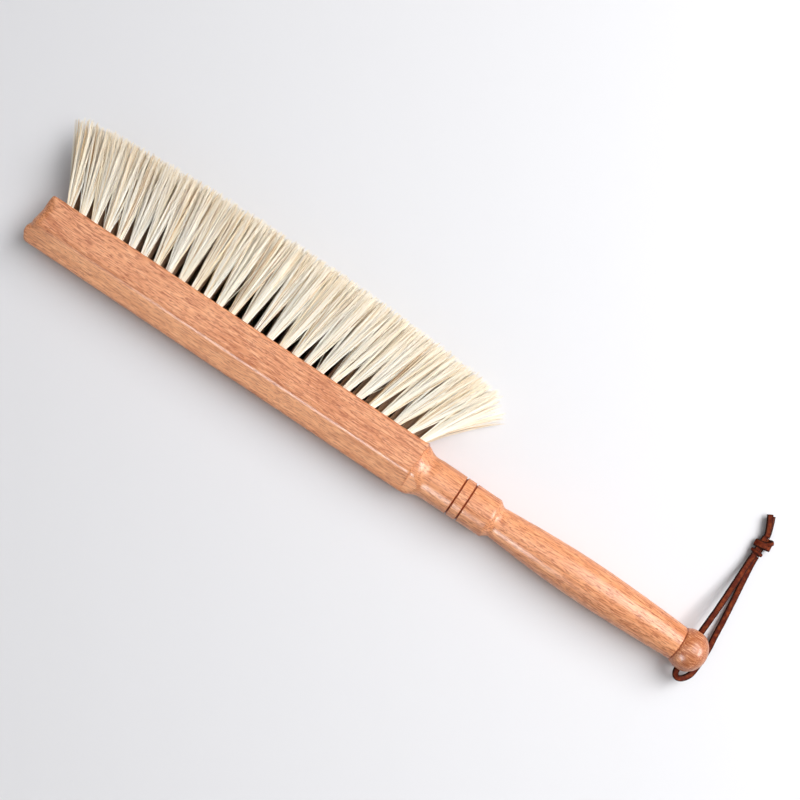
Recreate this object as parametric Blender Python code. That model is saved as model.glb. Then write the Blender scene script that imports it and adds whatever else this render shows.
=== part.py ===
"""Bed brush: a long beech head with rows of bristle tufts, a turned handle with a ball end, and a leather thong.

Lengths are in metres. The wood is laid out along X from the free end of the head, with the bristles toward +Y
and the axis of the handle at y = 0 and z = 0. At the end everything moves so that the brush lies on the floor.
"""

import math
import random

import bmesh
import bpy
from mathutils import Vector

# Clearances
GAP = 0.0003
CUT_OVERRUN = 0.004

# Head block
HEAD_LENGTH = 0.2603
HEAD_DEPTH = 0.0316
HEAD_THICKNESS = 0.030
SIDE_FACE_DEPTH = 0.0168
BRISTLE_EDGE_BEVEL = 0.0008
RIDGE_RADIUS = 0.006
CHAMFER_ANGLE = math.radians(42)
BACK_RADIUS = 0.004
END_SLANT = math.radians(13.8)
SIDE_RIM_RADIUS = 0.0078
CHAMFER_RIM_RADIUS = 0.0020
BACK_RIM_RADIUS = 0.0050
SHOULDER_EDGE_RADIUS = 0.001
SHOULDER_BACK_EDGE_RADIUS = 0.0002

# Neck with its two scored lines, and the round end of its collar
SHOULDER_LENGTH = 0.0125
NECK_RADIUS = 0.0124
NECK_LENGTH = 0.0385
COLLAR_RADIUS = 0.0120
COLLAR_END_LENGTH = 0.0043
GROOVE_FROM_HEAD = 0.0284
GROOVE_SPACING = 0.0066
GROOVE_WIDTH = 0.0012
GROOVE_DEPTH = 0.0010
GROOVES = 2

# Handle and ball
HANDLE_LENGTH = 0.1207
HANDLE_START_RADIUS = 0.0093
HANDLE_RADIUS = 0.0122
HANDLE_END_RADIUS = 0.0100
BALL_RADIUS = 0.0122
BALL_END_LENGTH = 0.0106
BORE_DIAMETER = 0.0042
BORE_PAST_BALL_CENTRE = 0.0003

# Shoulder outline: share of its length, then how much of the block's size is left at the side and at the back
SHOULDER_SHARES = (
    (0.00, 1.00, 1.00),
    (0.09, 0.92, 0.99),
    (0.18, 0.70, 0.94),
    (0.30, 0.37, 0.79),
    (0.41, 0.13, 0.58),
    (0.55, -0.06, 0.32),
    (0.70, -0.12, 0.11),
    (0.86, -0.06, 0.02),
    (1.00, 0.00, 0.00),
)

# Directions round the head between which one shape passes into the next, 0 at the bristles and 180 at the back
BACK_BLEND_ANGLES = (math.radians(95), math.radians(150))
SIDE_RIM_ANGLES = (math.radians(38), math.radians(60))
CHAMFER_RIM_ANGLES = (math.radians(114), math.radians(132))
BACK_RIM_ANGLES = (math.radians(142), math.radians(166))

# Collar end: share of its length, share of the way from the collar's radius down to the handle's
COLLAR_END_SHARES = ((0.00, 0.00), (0.20, 0.17), (0.47, 0.55), (0.73, 0.85), (1.00, 1.00))

# Handle: share of its length, share of the way from its start radius to its largest one
SWELL_SHARES = (
    (0.025, 0.12),
    (0.06, 0.21),
    (0.12, 0.37),
    (0.17, 0.54),
    (0.23, 0.68),
    (0.29, 0.79),
    (0.36, 0.92),
    (0.45, 1.00),
    (0.58, 1.00),
)
# Then share of its length, share of the way from the largest radius to the one at the ball
TAPER_SHARES = ((0.66, 0.14), (0.75, 0.31), (0.83, 0.50), (0.92, 0.74), (1.00, 1.00))

# Bristle tufts
TUFT_COLUMNS = 29
FIRST_TUFT = 0.0139
LAST_TUFT_TO_HEAD_END = 0.0044
ROW_SPACING = 0.0072
INNER_ROW_START_INSET = 0.0015
INNER_ROW_END_INSET = 0.0042
TUFT_LENGTH = 0.0510
RAGGED_LENGTH = 0.0016
MIDDLE_LEAN = math.radians(3)
LEAN_SPREAD = math.radians(23)
END_FLARE = math.radians(5)
OUTER_ROW_SPLAY = 0.0010

# One strand stands for a lock of hairs: its size where it leaves the wood, and at its tip
STRANDS_PER_TUFT = 4
STRAND_PITCH = 0.00132
ROOT_WIDTH = 0.0007
ROOT_DEPTH = 0.0028
TIP_WIDTH = 0.0014
TIP_DEPTH = 0.0056

# Backing slices, sunk in a recess of the bristle face
BACKING_THICKNESS = 0.0023
BACKING_MARGIN = 0.0027
BACKING_WIDTH = 0.0266
ROW_BAND_GAP = 0.0024

# Leather thong
LACE_DIAMETER = 0.0032
LACE_STEP = 0.0050
IN_BORE_LENGTH = 0.0160
KNOT_CENTRE = (0.4476, 0.0711, -0.0113)
KNOT_LENGTH = 0.0116
KNOT_WIDTH = 0.0100
KNOT_THICKNESS = 0.0070
TAIL_WIDTH = 0.0032
TAIL_THICKNESS = 0.0026

# The thong's routes from the bore to the knot, points chosen by hand from the photograph
FRONT_ROUTE = (
    (0.4436, 0.0083, 0.0000),
    (0.4436, 0.0122, 0.0000),
    (0.4438, 0.0173, -0.0003),
    (0.4446, 0.0280, -0.0022),
    (0.4454, 0.0407, -0.0055),
    (0.4460, 0.0534, -0.0086),
    (0.4463, 0.0612, -0.0098),
    (0.4464, 0.0650, -0.0100),
)
BACK_ROUTE = (
    (0.4436, -0.0083, 0.0000),
    (0.4436, -0.0118, 0.0000),
    (0.4443, -0.0146, -0.0008),
    (0.4466, -0.0163, -0.0026),
    (0.4500, -0.0151, -0.0050),
    (0.4530, -0.0110, -0.0072),
    (0.4542, -0.0040, -0.0092),
    (0.4544, 0.0055, -0.0106),
    (0.4536, 0.0143, -0.0112),
    (0.4527, 0.0251, -0.0118),
    (0.4515, 0.0363, -0.0123),
    (0.4502, 0.0475, -0.0128),
    (0.4490, 0.0582, -0.0131),
    (0.4485, 0.0650, -0.0131),
)
UPPER_TAIL_ROUTE = (
    (0.4467, 0.0772, -0.0101),
    (0.4467, 0.0782, -0.0101),
    (0.4457, 0.0811, -0.0103),
    (0.4438, 0.0852, -0.0104),
    (0.4418, 0.0889, -0.0104),
)
LOWER_TAIL_ROUTE = (
    (0.4477, 0.0772, -0.0132),
    (0.4477, 0.0782, -0.0132),
    (0.4469, 0.0811, -0.0133),
    (0.4455, 0.0852, -0.0134),
    (0.4440, 0.0889, -0.0134),
)

# Knot outline: share of its length, half its width and half its thickness as shares of the full ones
KNOT_SHARES = (
    (0.00, 0.30, 0.36),
    (0.08, 0.38, 0.44),
    (0.22, 0.40, 0.47),
    (0.33, 0.34, 0.42),
    (0.45, 0.42, 0.46),
    (0.62, 0.50, 0.50),
    (0.78, 0.49, 0.49),
    (0.90, 0.40, 0.43),
    (1.00, 0.26, 0.32),
)

# Points and faces
FACE_STEPS, SIDE_STEPS, RIDGE_STEPS, CHAMFER_STEPS, BACK_STEPS = 4, 5, 3, 4, 3
RIM_STEPS = 3
BALL_STEPS = 9
BORE_SIDES = 16
KNOT_SIDES = 14
LACE_BEVEL_RESOLUTION = 2
RAGGED_SEED = 7

# Places that follow from the sizes above
HALF_DEPTH = HEAD_DEPTH / 2
HALF_THICKNESS = HEAD_THICKNESS / 2
NECK_START = HEAD_LENGTH + SHOULDER_LENGTH
NECK_END = NECK_START + NECK_LENGTH
HANDLE_START = NECK_END + COLLAR_END_LENGTH
HANDLE_END = HANDLE_START + HANDLE_LENGTH
BALL_CENTRE = HANDLE_END + math.sqrt(BALL_RADIUS**2 - HANDLE_END_RADIUS**2)
BORE_PLACE = BALL_CENTRE + BORE_PAST_BALL_CENTRE
LAST_TUFT = HEAD_LENGTH - LAST_TUFT_TO_HEAD_END
OUTER_ROW = ROW_SPACING * 1.5
RECESS_DEPTH = BACKING_THICKNESS + GAP


def material(name, colour, roughness, coat=0):
    """A plain Principled material."""
    made = bpy.data.materials.new(name)
    made.use_nodes = True
    shader = made.node_tree.nodes["Principled BSDF"]
    shader.inputs["Base Color"].default_value = (*colour, 1)
    shader.inputs["Roughness"].default_value = roughness
    shader.inputs["Metallic"].default_value = 0
    shader.inputs["Coat Weight"].default_value = coat
    made.diffuse_color = (*colour, 1)
    return made


def add_object(name, mesh_or_curve, look, smooth=True):
    """Puts a mesh or curve into the scene under its sub-part's name."""
    made = bpy.data.objects.new(name, mesh_or_curve)
    bpy.context.scene.collection.objects.link(made)
    mesh_or_curve.materials.append(look)
    if smooth and made.type == "MESH":
        mesh_or_curve.polygons.foreach_set("use_smooth", [True] * len(mesh_or_curve.polygons))
    return made


def mesh_of(name, work):
    """Closes a bmesh and returns it as a mesh with its faces turned out."""
    bmesh.ops.recalc_face_normals(work, faces=work.faces)
    mesh = bpy.data.meshes.new(name)
    work.to_mesh(mesh)
    work.free()
    return mesh


def steps(start, end, count):
    """The places from start to end in count equal steps, both ends included."""
    return [start + (end - start) * k / count for k in range(count + 1)]


def head_outline():
    """Half of the head's section from the middle of the bristle face to the middle of the back, as (y, z)."""
    face_edge = HALF_THICKNESS - BRISTLE_EDGE_BEVEL
    side_end = HALF_DEPTH - SIDE_FACE_DEPTH
    points = [(HALF_DEPTH, z) for z in steps(0, face_edge, FACE_STEPS)]
    points += [(y, HALF_THICKNESS) for y in steps(HALF_DEPTH - BRISTLE_EDGE_BEVEL, side_end, SIDE_STEPS)]
    for turn in steps(0, CHAMFER_ANGLE, RIDGE_STEPS)[1:]:
        y = side_end - RIDGE_RADIUS * math.sin(turn)
        points.append((y, HALF_THICKNESS - RIDGE_RADIUS * (1 - math.cos(turn))))
    ridge_y, ridge_z = points[-1]
    arc_y = BACK_RADIUS * (1 - math.sin(CHAMFER_ANGLE)) - HALF_DEPTH
    arc_z = ridge_z - (ridge_y - arc_y) * math.tan(CHAMFER_ANGLE)
    ys, zs = steps(ridge_y, arc_y, CHAMFER_STEPS), steps(ridge_z, arc_z, CHAMFER_STEPS)
    points += list(zip(ys, zs))[1:]
    for turn in steps(CHAMFER_ANGLE, math.pi / 2, BACK_STEPS)[1:]:
        y = BACK_RADIUS * (1 - math.sin(turn)) - HALF_DEPTH
        points.append((y, arc_z - BACK_RADIUS * (math.cos(CHAMFER_ANGLE) - math.cos(turn))))
    points.append((-HALF_DEPTH, 0))
    return points


def full_outline():
    """The whole section of the head, with its far half mirrored."""
    half = head_outline()
    return half + [(y, -z) for y, z in reversed(half[1:-1])]


OUTLINE = full_outline()
REACHES = [math.hypot(y, z) for y, z in OUTLINE]
TURNS = [abs(math.atan2(z, y)) for y, z in OUTLINE]


def smooth_share(value, low, high):
    """0 below low, 1 above high, and a smooth step between."""
    share = min(1, max(0, (value - low) / (high - low)))
    return share * share * (3 - 2 * share)


def ring(x, reaches):
    """A ring of points at x, each as far from the axis as reaches says, in the outline's directions."""
    return [
        Vector((x, y * reach / full, z * reach / full))
        for (y, z), full, reach in zip(OUTLINE, REACHES, reaches)
    ]


def round_ring(x, radius):
    """A turned ring."""
    return ring(x, [radius] * len(OUTLINE))


def rim_radius(angle):
    """How round the rim of the free end is in one direction: crisp at the bristles, broad at the sides."""
    rim = BRISTLE_EDGE_BEVEL + smooth_share(angle, *SIDE_RIM_ANGLES) * (SIDE_RIM_RADIUS - BRISTLE_EDGE_BEVEL)
    rim += smooth_share(angle, *CHAMFER_RIM_ANGLES) * (CHAMFER_RIM_RADIUS - SIDE_RIM_RADIUS)
    return rim + smooth_share(angle, *BACK_RIM_ANGLES) * (BACK_RIM_RADIUS - CHAMFER_RIM_RADIUS)


def free_end_rings():
    """The slanted end of the head, with its rounded rim."""
    rings = []
    for turn in steps(0, math.pi / 2, RIM_STEPS):
        points = []
        for (y, z), full, angle in zip(OUTLINE, REACHES, TURNS):
            rim = rim_radius(angle)
            share = 1 - rim * (1 - math.sin(turn)) / full
            x = y * share * math.tan(END_SLANT) + rim * (1 - math.cos(turn))
            points.append(Vector((x, y * share, z * share)))
        rings.append(points)
    return rings


def shoulder_edge(angle):
    """How round the edge of the square end is in one direction."""
    return SHOULDER_EDGE_RADIUS + smooth_share(angle, *BACK_BLEND_ANGLES) * (
        SHOULDER_BACK_EDGE_RADIUS - SHOULDER_EDGE_RADIUS
    )


def head_end_rings():
    """The square end of the head toward the neck, with its small rounded edge."""
    rings = []
    for turn in steps(0, math.pi / 2, 2):
        points = []
        for (y, z), full, angle in zip(OUTLINE, REACHES, TURNS):
            edge = shoulder_edge(angle)
            share = 1 - edge * (1 - math.cos(turn)) / full
            points.append(Vector((HEAD_LENGTH - edge * (1 - math.sin(turn)), y * share, z * share)))
        rings.append(points)
    return rings


def shoulder_rings():
    """The turned cove from the head to the neck, fuller at the back."""
    rings = []
    for place, side_share, back_share in SHOULDER_SHARES:
        side = NECK_RADIUS + side_share * (HALF_THICKNESS - NECK_RADIUS)
        back = NECK_RADIUS + back_share * (HALF_DEPTH - NECK_RADIUS)
        reaches = []
        for full, angle in zip(REACHES, TURNS):
            turned = side + (back - side) * smooth_share(angle, *BACK_BLEND_ANGLES)
            reaches.append(min(full - shoulder_edge(angle), turned))
        rings.append(ring(HEAD_LENGTH + GAP + place * (SHOULDER_LENGTH - GAP), reaches))
    return rings


def neck_radius(x):
    """The neck narrows a little from the shoulder to the collar."""
    return NECK_RADIUS + (COLLAR_RADIUS - NECK_RADIUS) * (x - NECK_START) / NECK_LENGTH


def neck_rings():
    """The neck with its scored lines, and the collar's round end."""
    rings = []
    for k in range(GROOVES):
        middle = HEAD_LENGTH + GROOVE_FROM_HEAD + k * GROOVE_SPACING
        for x, depth in ((middle - GROOVE_WIDTH / 2, 0), (middle, GROOVE_DEPTH), (middle + GROOVE_WIDTH / 2, 0)):
            rings.append(round_ring(x, neck_radius(x) - depth))
    for place, share in COLLAR_END_SHARES:
        radius = COLLAR_RADIUS + share * (HANDLE_START_RADIUS - COLLAR_RADIUS)
        rings.append(round_ring(NECK_END + place * COLLAR_END_LENGTH, radius))
    return rings


def handle_rings():
    """The handle, which swells from the collar and narrows again to the ball."""
    rings = []
    for place, share in SWELL_SHARES:
        radius = HANDLE_START_RADIUS + share * (HANDLE_RADIUS - HANDLE_START_RADIUS)
        rings.append(round_ring(HANDLE_START + place * HANDLE_LENGTH, radius))
    for place, share in TAPER_SHARES:
        radius = HANDLE_RADIUS + share * (HANDLE_END_RADIUS - HANDLE_RADIUS)
        rings.append(round_ring(HANDLE_START + place * HANDLE_LENGTH, radius))
    return rings


def ball_rings():
    """The ball, from the crease at the handle almost to its pole, a little flattened at its end."""
    rings = []
    for turn in steps(math.acos((BALL_CENTRE - HANDLE_END) / BALL_RADIUS), math.pi, BALL_STEPS)[1:-1]:
        reach = BALL_RADIUS if turn < math.pi / 2 else BALL_END_LENGTH
        rings.append(round_ring(BALL_CENTRE - reach * math.cos(turn), BALL_RADIUS * math.sin(turn)))
    return rings


def loft(work, rings):
    """Joins rings of equal count with quads, and returns their rows of points."""
    rows = [[work.verts.new(point) for point in points] for points in rings]
    for low, high in zip(rows, rows[1:]):
        for k in range(len(low)):
            work.faces.new((low[k - 1], low[k], high[k], high[k - 1]))
    return rows


def cutter(name, mesh, look):
    """A hidden body that a Boolean takes away."""
    made = add_object(name, mesh, look, smooth=False)
    made.hide_render = True
    made.display_type = "WIRE"
    return made


def box_mesh(name, low, high):
    """A box between two corners."""
    work = bmesh.new()
    bmesh.ops.create_cube(work, size=1)
    for vert in work.verts:
        for axis in range(3):
            vert.co[axis] = high[axis] if vert.co[axis] > 0 else low[axis]
    return mesh_of(name, work)


def bore_mesh():
    """A round pin through the ball, along the bristles' direction."""
    work = bmesh.new()
    reach = BALL_RADIUS + CUT_OVERRUN
    rings = []
    for y in (-reach, reach):
        turns = [math.tau * k / BORE_SIDES for k in range(BORE_SIDES)]
        radius = BORE_DIAMETER / 2
        rings.append([Vector((BORE_PLACE + radius * math.cos(t), y, radius * math.sin(t))) for t in turns])
    rows = loft(work, rings)
    work.faces.new(rows[0])
    work.faces.new(rows[-1])
    return mesh_of("bore_cut", work)


def cut(body, tool):
    """Takes a cutter away from a body."""
    step = body.modifiers.new(tool.name, "BOOLEAN")
    step.operation = "DIFFERENCE"
    step.solver = "EXACT"
    step.object = tool


def beech_body(look):
    """Head, neck, collar, handle and ball in one piece of wood, recessed for the tufts and bored for the thong."""
    work = bmesh.new()
    rings = free_end_rings() + head_end_rings() + shoulder_rings()
    rings += neck_rings() + handle_rings() + ball_rings()
    rows = loft(work, rings)
    work.faces.new(rows[0])
    pole = work.verts.new((BALL_CENTRE + BALL_END_LENGTH, 0, 0))
    for k in range(len(rows[-1])):
        work.faces.new((rows[-1][k - 1], rows[-1][k], pole))
    body = add_object("beech_body", mesh_of("beech_body", work), look)
    half_width = BACKING_WIDTH / 2 + GAP
    low = (FIRST_TUFT - BACKING_MARGIN - GAP, HALF_DEPTH - RECESS_DEPTH, -half_width)
    high = (LAST_TUFT + BACKING_MARGIN + GAP, HALF_DEPTH + CUT_OVERRUN, half_width)
    cut(body, cutter("recess_cut", box_mesh("recess_cut", low, high), look))
    cut(body, cutter("bore_cut", bore_mesh(), look))
    return body


def tuft_place(column, inner):
    """Where a tuft of this column stands along the head, in an outer row or in a shorter inner one."""
    first = FIRST_TUFT + inner * INNER_ROW_START_INSET
    last = LAST_TUFT - inner * INNER_ROW_END_INSET
    return first + column * (last - first) / (TUFT_COLUMNS - 1)


def slice_edges(column, inner):
    """The two ends of a backing slice along the head, at an outer or an inner row."""
    low, high = FIRST_TUFT - BACKING_MARGIN, LAST_TUFT + BACKING_MARGIN
    here = tuft_place(column, inner)
    if column > 0:
        low = (tuft_place(column - 1, inner) + here) / 2 + GAP / 2
    if column < TUFT_COLUMNS - 1:
        high = (here + tuft_place(column + 1, inner)) / 2 - GAP / 2
    return low, high


def lean(x):
    """How far a strand whose share of the brush is at x leans toward the handle."""
    middle, half_span = (FIRST_TUFT + LAST_TUFT) / 2, (LAST_TUFT - FIRST_TUFT) / 2
    place = (x - middle) / half_span
    return MIDDLE_LEAN + LEAN_SPREAD * place + END_FLARE * place**3


def strand_tip(column, strand, root, row_side, chance):
    """The middle of a strand's tip. Tips are spread evenly along the brush, so no two strands cross."""
    pitch = (LAST_TUFT - FIRST_TUFT) / (TUFT_COLUMNS - 1)
    share = (strand + 0.5) / STRANDS_PER_TUFT - 0.5
    spread_x = FIRST_TUFT + (column + share) * pitch
    angle = lean(spread_x)
    full = Vector((spread_x + TUFT_LENGTH * math.sin(angle), root.y + TUFT_LENGTH * math.cos(angle), root.z))
    full.z += row_side * OUTER_ROW_SPLAY
    way = full - root
    return root + way * (1 + RAGGED_LENGTH * chance.uniform(-1, 1) / way.length)


def add_strand(work, corners, root, tip, side):
    """A three-sided strand that rises from a cell of the backing, with its ridge to one side in z."""
    low = []
    high = []
    for along, across in ((-1, -1), (1, -1), (0, 1)):
        low.append(root + Vector((along * ROOT_WIDTH / 2, 0, side * across * ROOT_DEPTH / 2)))
        high.append(tip + Vector((along * TIP_WIDTH / 2, 0, side * across * TIP_DEPTH / 2)))
    low = [work.verts.new(point) for point in low]
    high = [work.verts.new(point) for point in high]
    a, b, c = low
    near_a, near_b, far_b, far_a = corners
    work.faces.new((near_a, near_b, b, a))
    work.faces.new((near_b, far_b, c, b))
    work.faces.new((far_b, far_a, c))
    work.faces.new((far_a, near_a, a, c))
    for k in range(3):
        work.faces.new((low[k - 1], low[k], high[k], high[k - 1]))
    work.faces.new(high)


def tuft_column(column, look):
    """Four tufts across the head on one slice of backing."""
    chance = random.Random(RAGGED_SEED + column)
    work = bmesh.new()
    inner_band, outer_band = ROW_SPACING - ROW_BAND_GAP / 2, ROW_SPACING + ROW_BAND_GAP / 2
    levels = [(-BACKING_WIDTH / 2, False), (-outer_band, False), (-inner_band, True), (0, True)]
    levels += [(-z, inner) for z, inner in reversed(levels[:-1])]
    top = []
    bottom = []
    for z, inner in levels:
        low, high = slice_edges(column, inner)
        middle = tuft_place(column, inner)
        xs = [low] + [middle + k * STRAND_PITCH for k in (-1, 0, 1)] + [high]
        top.append([work.verts.new((x, HALF_DEPTH, z)) for x in xs])
        bottom.append([work.verts.new((x, HALF_DEPTH - BACKING_THICKNESS, z)) for x in (low, high)])
    rows = {0: -OUTER_ROW, 2: -ROW_SPACING / 2, 3: ROW_SPACING / 2, 5: OUTER_ROW}
    for band in range(len(levels) - 1):
        for k in range(STRANDS_PER_TUFT):
            corners = (top[band][k], top[band][k + 1], top[band + 1][k + 1], top[band + 1][k])
            if band not in rows:
                work.faces.new(corners)
                continue
            z = rows[band]
            x = tuft_place(column, levels[band][1]) + (k - (STRANDS_PER_TUFT - 1) / 2) * STRAND_PITCH
            root = Vector((x, HALF_DEPTH, z))
            row_side = z / OUTER_ROW
            tip = strand_tip(column, k, root, row_side, chance)
            side = 1 if z > 0 else -1
            if side < 0:
                corners = (corners[3], corners[2], corners[1], corners[0])
            add_strand(work, corners, root, tip, side)
        for end, place in ((0, 0), (-1, 1)):
            work.faces.new((top[band][end], top[band + 1][end], bottom[band + 1][place], bottom[band][place]))
        work.faces.new((bottom[band][0], bottom[band][1], bottom[band + 1][1], bottom[band + 1][0]))
    for end in (0, -1):
        work.faces.new(top[end] + [bottom[end][1], bottom[end][0]])
    name = f"tuft_column_{column + 1:02d}"
    return add_object(name, mesh_of(name, work), look, smooth=False)


def smooth_route(points, step):
    """Points every step or so along a smooth curve through the chosen ones."""
    ends = [Vector(point) for point in points]
    ends = [2 * ends[0] - ends[1]] + ends + [2 * ends[-1] - ends[-2]]
    route = []
    for before, start, end, after in zip(ends, ends[1:], ends[2:], ends[3:]):
        count = max(1, round((end - start).length / step))
        for k in range(count):
            t = k / count
            route.append(
                0.5
                * (
                    2 * start
                    + (end - before) * t
                    + (2 * before - 5 * start + 4 * end - after) * t**2
                    + (3 * start - before - 3 * end + after) * t**3
                )
            )
    return route + [ends[-2]]


def lace(name, points, look):
    """A round length of lace along a route."""
    curve = bpy.data.curves.new(name, "CURVE")
    curve.dimensions = "3D"
    curve.bevel_depth = LACE_DIAMETER / 2
    curve.bevel_resolution = LACE_BEVEL_RESOLUTION
    curve.use_fill_caps = True
    spline = curve.splines.new("POLY")
    spline.points.add(len(points) - 1)
    for place, point in zip(spline.points, points):
        place.co = (*point, 1)
    return add_object(name, curve, look)


def lace_in_bore(look):
    """The length of lace that lies inside the ball."""
    half = IN_BORE_LENGTH / 2
    return lace("thong_in_bore", [Vector((BORE_PLACE, y, 0)) for y in (-half, 0, half)], look)


def knot(look):
    """The overhand knot as one lumpy solid, round in section."""
    work = bmesh.new()
    centre = Vector(KNOT_CENTRE)
    rings = []
    for place, width, thickness in KNOT_SHARES:
        points = []
        for k in range(KNOT_SIDES):
            turn = math.tau * k / KNOT_SIDES
            across, up = width * KNOT_WIDTH * math.cos(turn), thickness * KNOT_THICKNESS * math.sin(turn)
            points.append(centre + Vector((across, (place - 0.5) * KNOT_LENGTH, up)))
        rings.append(points)
    rows = loft(work, rings)
    work.faces.new(rows[0])
    work.faces.new(rows[-1])
    return add_object("thong_knot", mesh_of("thong_knot", work), look)


def tail(name, points, look):
    """A cut end of the lace, a flat strip beyond the knot."""
    work = bmesh.new()
    route = smooth_route(points, LACE_STEP)
    rings = []
    for k, point in enumerate(route):
        way = route[min(k + 1, len(route) - 1)] - route[max(k - 1, 0)]
        across = Vector((way.y, -way.x, 0)).normalized() * TAIL_WIDTH / 2
        up = Vector((0, 0, TAIL_THICKNESS / 2))
        rings.append([point + across + up, point - across + up, point - across - up, point + across - up])
    rows = loft(work, rings)
    work.faces.new(rows[0])
    work.faces.new(rows[-1])
    return add_object(name, mesh_of(name, work), look, smooth=False)


def thong(look):
    """The leather thong on an empty at the bore's axis, about which it swings."""
    pieces = [
        lace_in_bore(look),
        lace("thong_front_strand", smooth_route(FRONT_ROUTE, LACE_STEP), look),
        lace("thong_back_strand", smooth_route(BACK_ROUTE, LACE_STEP), look),
        knot(look),
        tail("thong_upper_tail", UPPER_TAIL_ROUTE, look),
        tail("thong_lower_tail", LOWER_TAIL_ROUTE, look),
    ]
    pivot = bpy.data.objects.new("thong_pivot", None)
    bpy.context.scene.collection.objects.link(pivot)
    pivot.location = (BORE_PLACE, 0, 0)
    for piece in pieces:
        piece.parent = pivot
        piece.location = (-BORE_PLACE, 0, 0)
    return pivot


def lay_down(body, columns, pivot):
    """Moves everything so that the brush rests on the floor, with the middle of its box over the origin."""
    points = [vert.co for piece in [body, *columns] for vert in piece.data.vertices]
    low = [min(point[axis] for point in points) for axis in range(3)]
    high = [max(point[axis] for point in points) for axis in range(3)]
    move = Vector((-(low[0] + high[0]) / 2, -(low[1] + high[1]) / 2, -low[2]))
    cutters = [step.object for step in body.modifiers]
    for piece in [body, *columns, *cutters, pivot]:
        piece.location += move


def main():
    """Builds the brush."""
    for old in list(bpy.data.objects):
        bpy.data.objects.remove(old)
    wood = material("lacquered_beech", (0.71, 0.33, 0.18), 0.3, coat=0.4)
    hair = material("cream_bristle", (0.80, 0.70, 0.52), 0.6)
    leather = material("brown_leather", (0.15, 0.035, 0.012), 0.5)
    body = beech_body(wood)
    columns = [tuft_column(column, hair) for column in range(TUFT_COLUMNS)]
    lay_down(body, columns, thong(leather))


main()
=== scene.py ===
"""The looks of a bed brush: lacquered beech, bristle tufts and a leather thong, on a pale floor.

Every length is in metres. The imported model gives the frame, and the sizes below place the wood's own
axes in it: x from the free end of the head toward the ball, y toward the bristles and z up, with the
handle's axis at 0.
"""

import logging
import math
import random
from collections.abc import Sequence
from dataclasses import dataclass, field
from enum import Enum

import bmesh
import bpy
from mathutils import Matrix, Vector


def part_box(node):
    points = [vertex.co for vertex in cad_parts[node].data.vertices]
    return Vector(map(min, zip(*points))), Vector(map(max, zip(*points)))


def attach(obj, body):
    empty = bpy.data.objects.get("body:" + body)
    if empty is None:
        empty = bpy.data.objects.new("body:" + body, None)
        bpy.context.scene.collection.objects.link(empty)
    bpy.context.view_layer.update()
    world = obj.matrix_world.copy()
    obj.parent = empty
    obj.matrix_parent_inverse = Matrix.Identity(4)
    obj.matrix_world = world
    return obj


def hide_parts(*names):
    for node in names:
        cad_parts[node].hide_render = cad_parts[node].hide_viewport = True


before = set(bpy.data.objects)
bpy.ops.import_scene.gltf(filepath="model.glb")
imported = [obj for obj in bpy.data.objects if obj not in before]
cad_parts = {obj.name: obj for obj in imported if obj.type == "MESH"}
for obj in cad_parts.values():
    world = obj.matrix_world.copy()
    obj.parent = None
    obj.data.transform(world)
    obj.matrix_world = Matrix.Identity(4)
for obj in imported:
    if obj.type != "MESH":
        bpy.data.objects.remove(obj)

Point = tuple[float, float, float]
Colour = tuple[float, float, float, float]

LOG = logging.getLogger("bed_brush")
BAKE_MAP = "OFBake"
EDGE_SHADE = "edge_shade"
UP = Vector((0, 0, 1))
# Across a hair's map the shades of the outer rows end here, and those of the inner rows begin.
INNER_SHADES_FROM = 0.75


class Body(Enum):
    """The bodies of the frame."""

    BRUSH = "brush"
    THONG = "thong"


class Slot(Enum):
    """The material slots of the record."""

    BEECH = "lacquered_beech"
    BRISTLE = "cream_bristle"
    LEATHER = "brown_leather"


def srgb(red: int, green: int, blue: int) -> Colour:
    """Turns a colour of 0 to 255 as a screen shows it into the shader's numbers.

    Args:
        red: Red, 0 to 255.
        green: Green, 0 to 255.
        blue: Blue, 0 to 255.

    Returns:
        The linear colour with full alpha.
    """
    linear = []
    for channel in (red, green, blue):
        share = channel / 255
        linear.append(share / 12.92 if share <= 0.04045 else ((share + 0.055) / 1.055) ** 2.4)
    return (*linear, 1.0)


WHITE = srgb(255, 255, 255)


def steps(start: float, end: float, count: int) -> list[float]:
    """Gives the places from start to end in equal steps, both ends included.

    Args:
        start: The first place.
        end: The last place.
        count: How many steps lie between them.

    Returns:
        The places, one more than count.
    """
    return [start + (end - start) * k / count for k in range(count + 1)]


def between(start: float, end: float, share: float) -> float:
    """The number that lies a share of the way from start to end."""
    return start + share * (end - start)


def smooth_share(value: float, low: float, high: float) -> float:
    """Rises smoothly from 0 at low to 1 at high.

    Args:
        value: The place to look up.
        low: Where the rise starts.
        high: Where it ends.

    Returns:
        The share, from 0 to 1.
    """
    share = min(1.0, max(0.0, (value - low) / (high - low)))
    return share * share * (3 - 2 * share)


def eased(table: Sequence[tuple[float, float]], place: float) -> float:
    """Reads a smooth curve through the points of a table.

    Args:
        table: Points as (place, value), in order of place.
        place: Where to read.

    Returns:
        The value there.
    """
    last = len(table) - 1
    index = max(0, min(last - 1, sum(1 for known, _ in table[1:-1] if known <= place)))

    def slope(k: int) -> float:
        """How steep the curve is at point k."""
        low, high = max(0, k - 1), min(last, k + 1)
        return (table[high][1] - table[low][1]) / (table[high][0] - table[low][0])

    start, end = table[index], table[index + 1]
    span = end[0] - start[0]
    t = min(1.0, max(0.0, (place - start[0]) / span))
    rise = start[1] * (1 + 2 * t) * (1 - t) ** 2 + end[1] * t * t * (3 - 2 * t)
    return rise + span * t * (1 - t) * (slope(index) * (1 - t) - slope(index + 1) * t)


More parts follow.
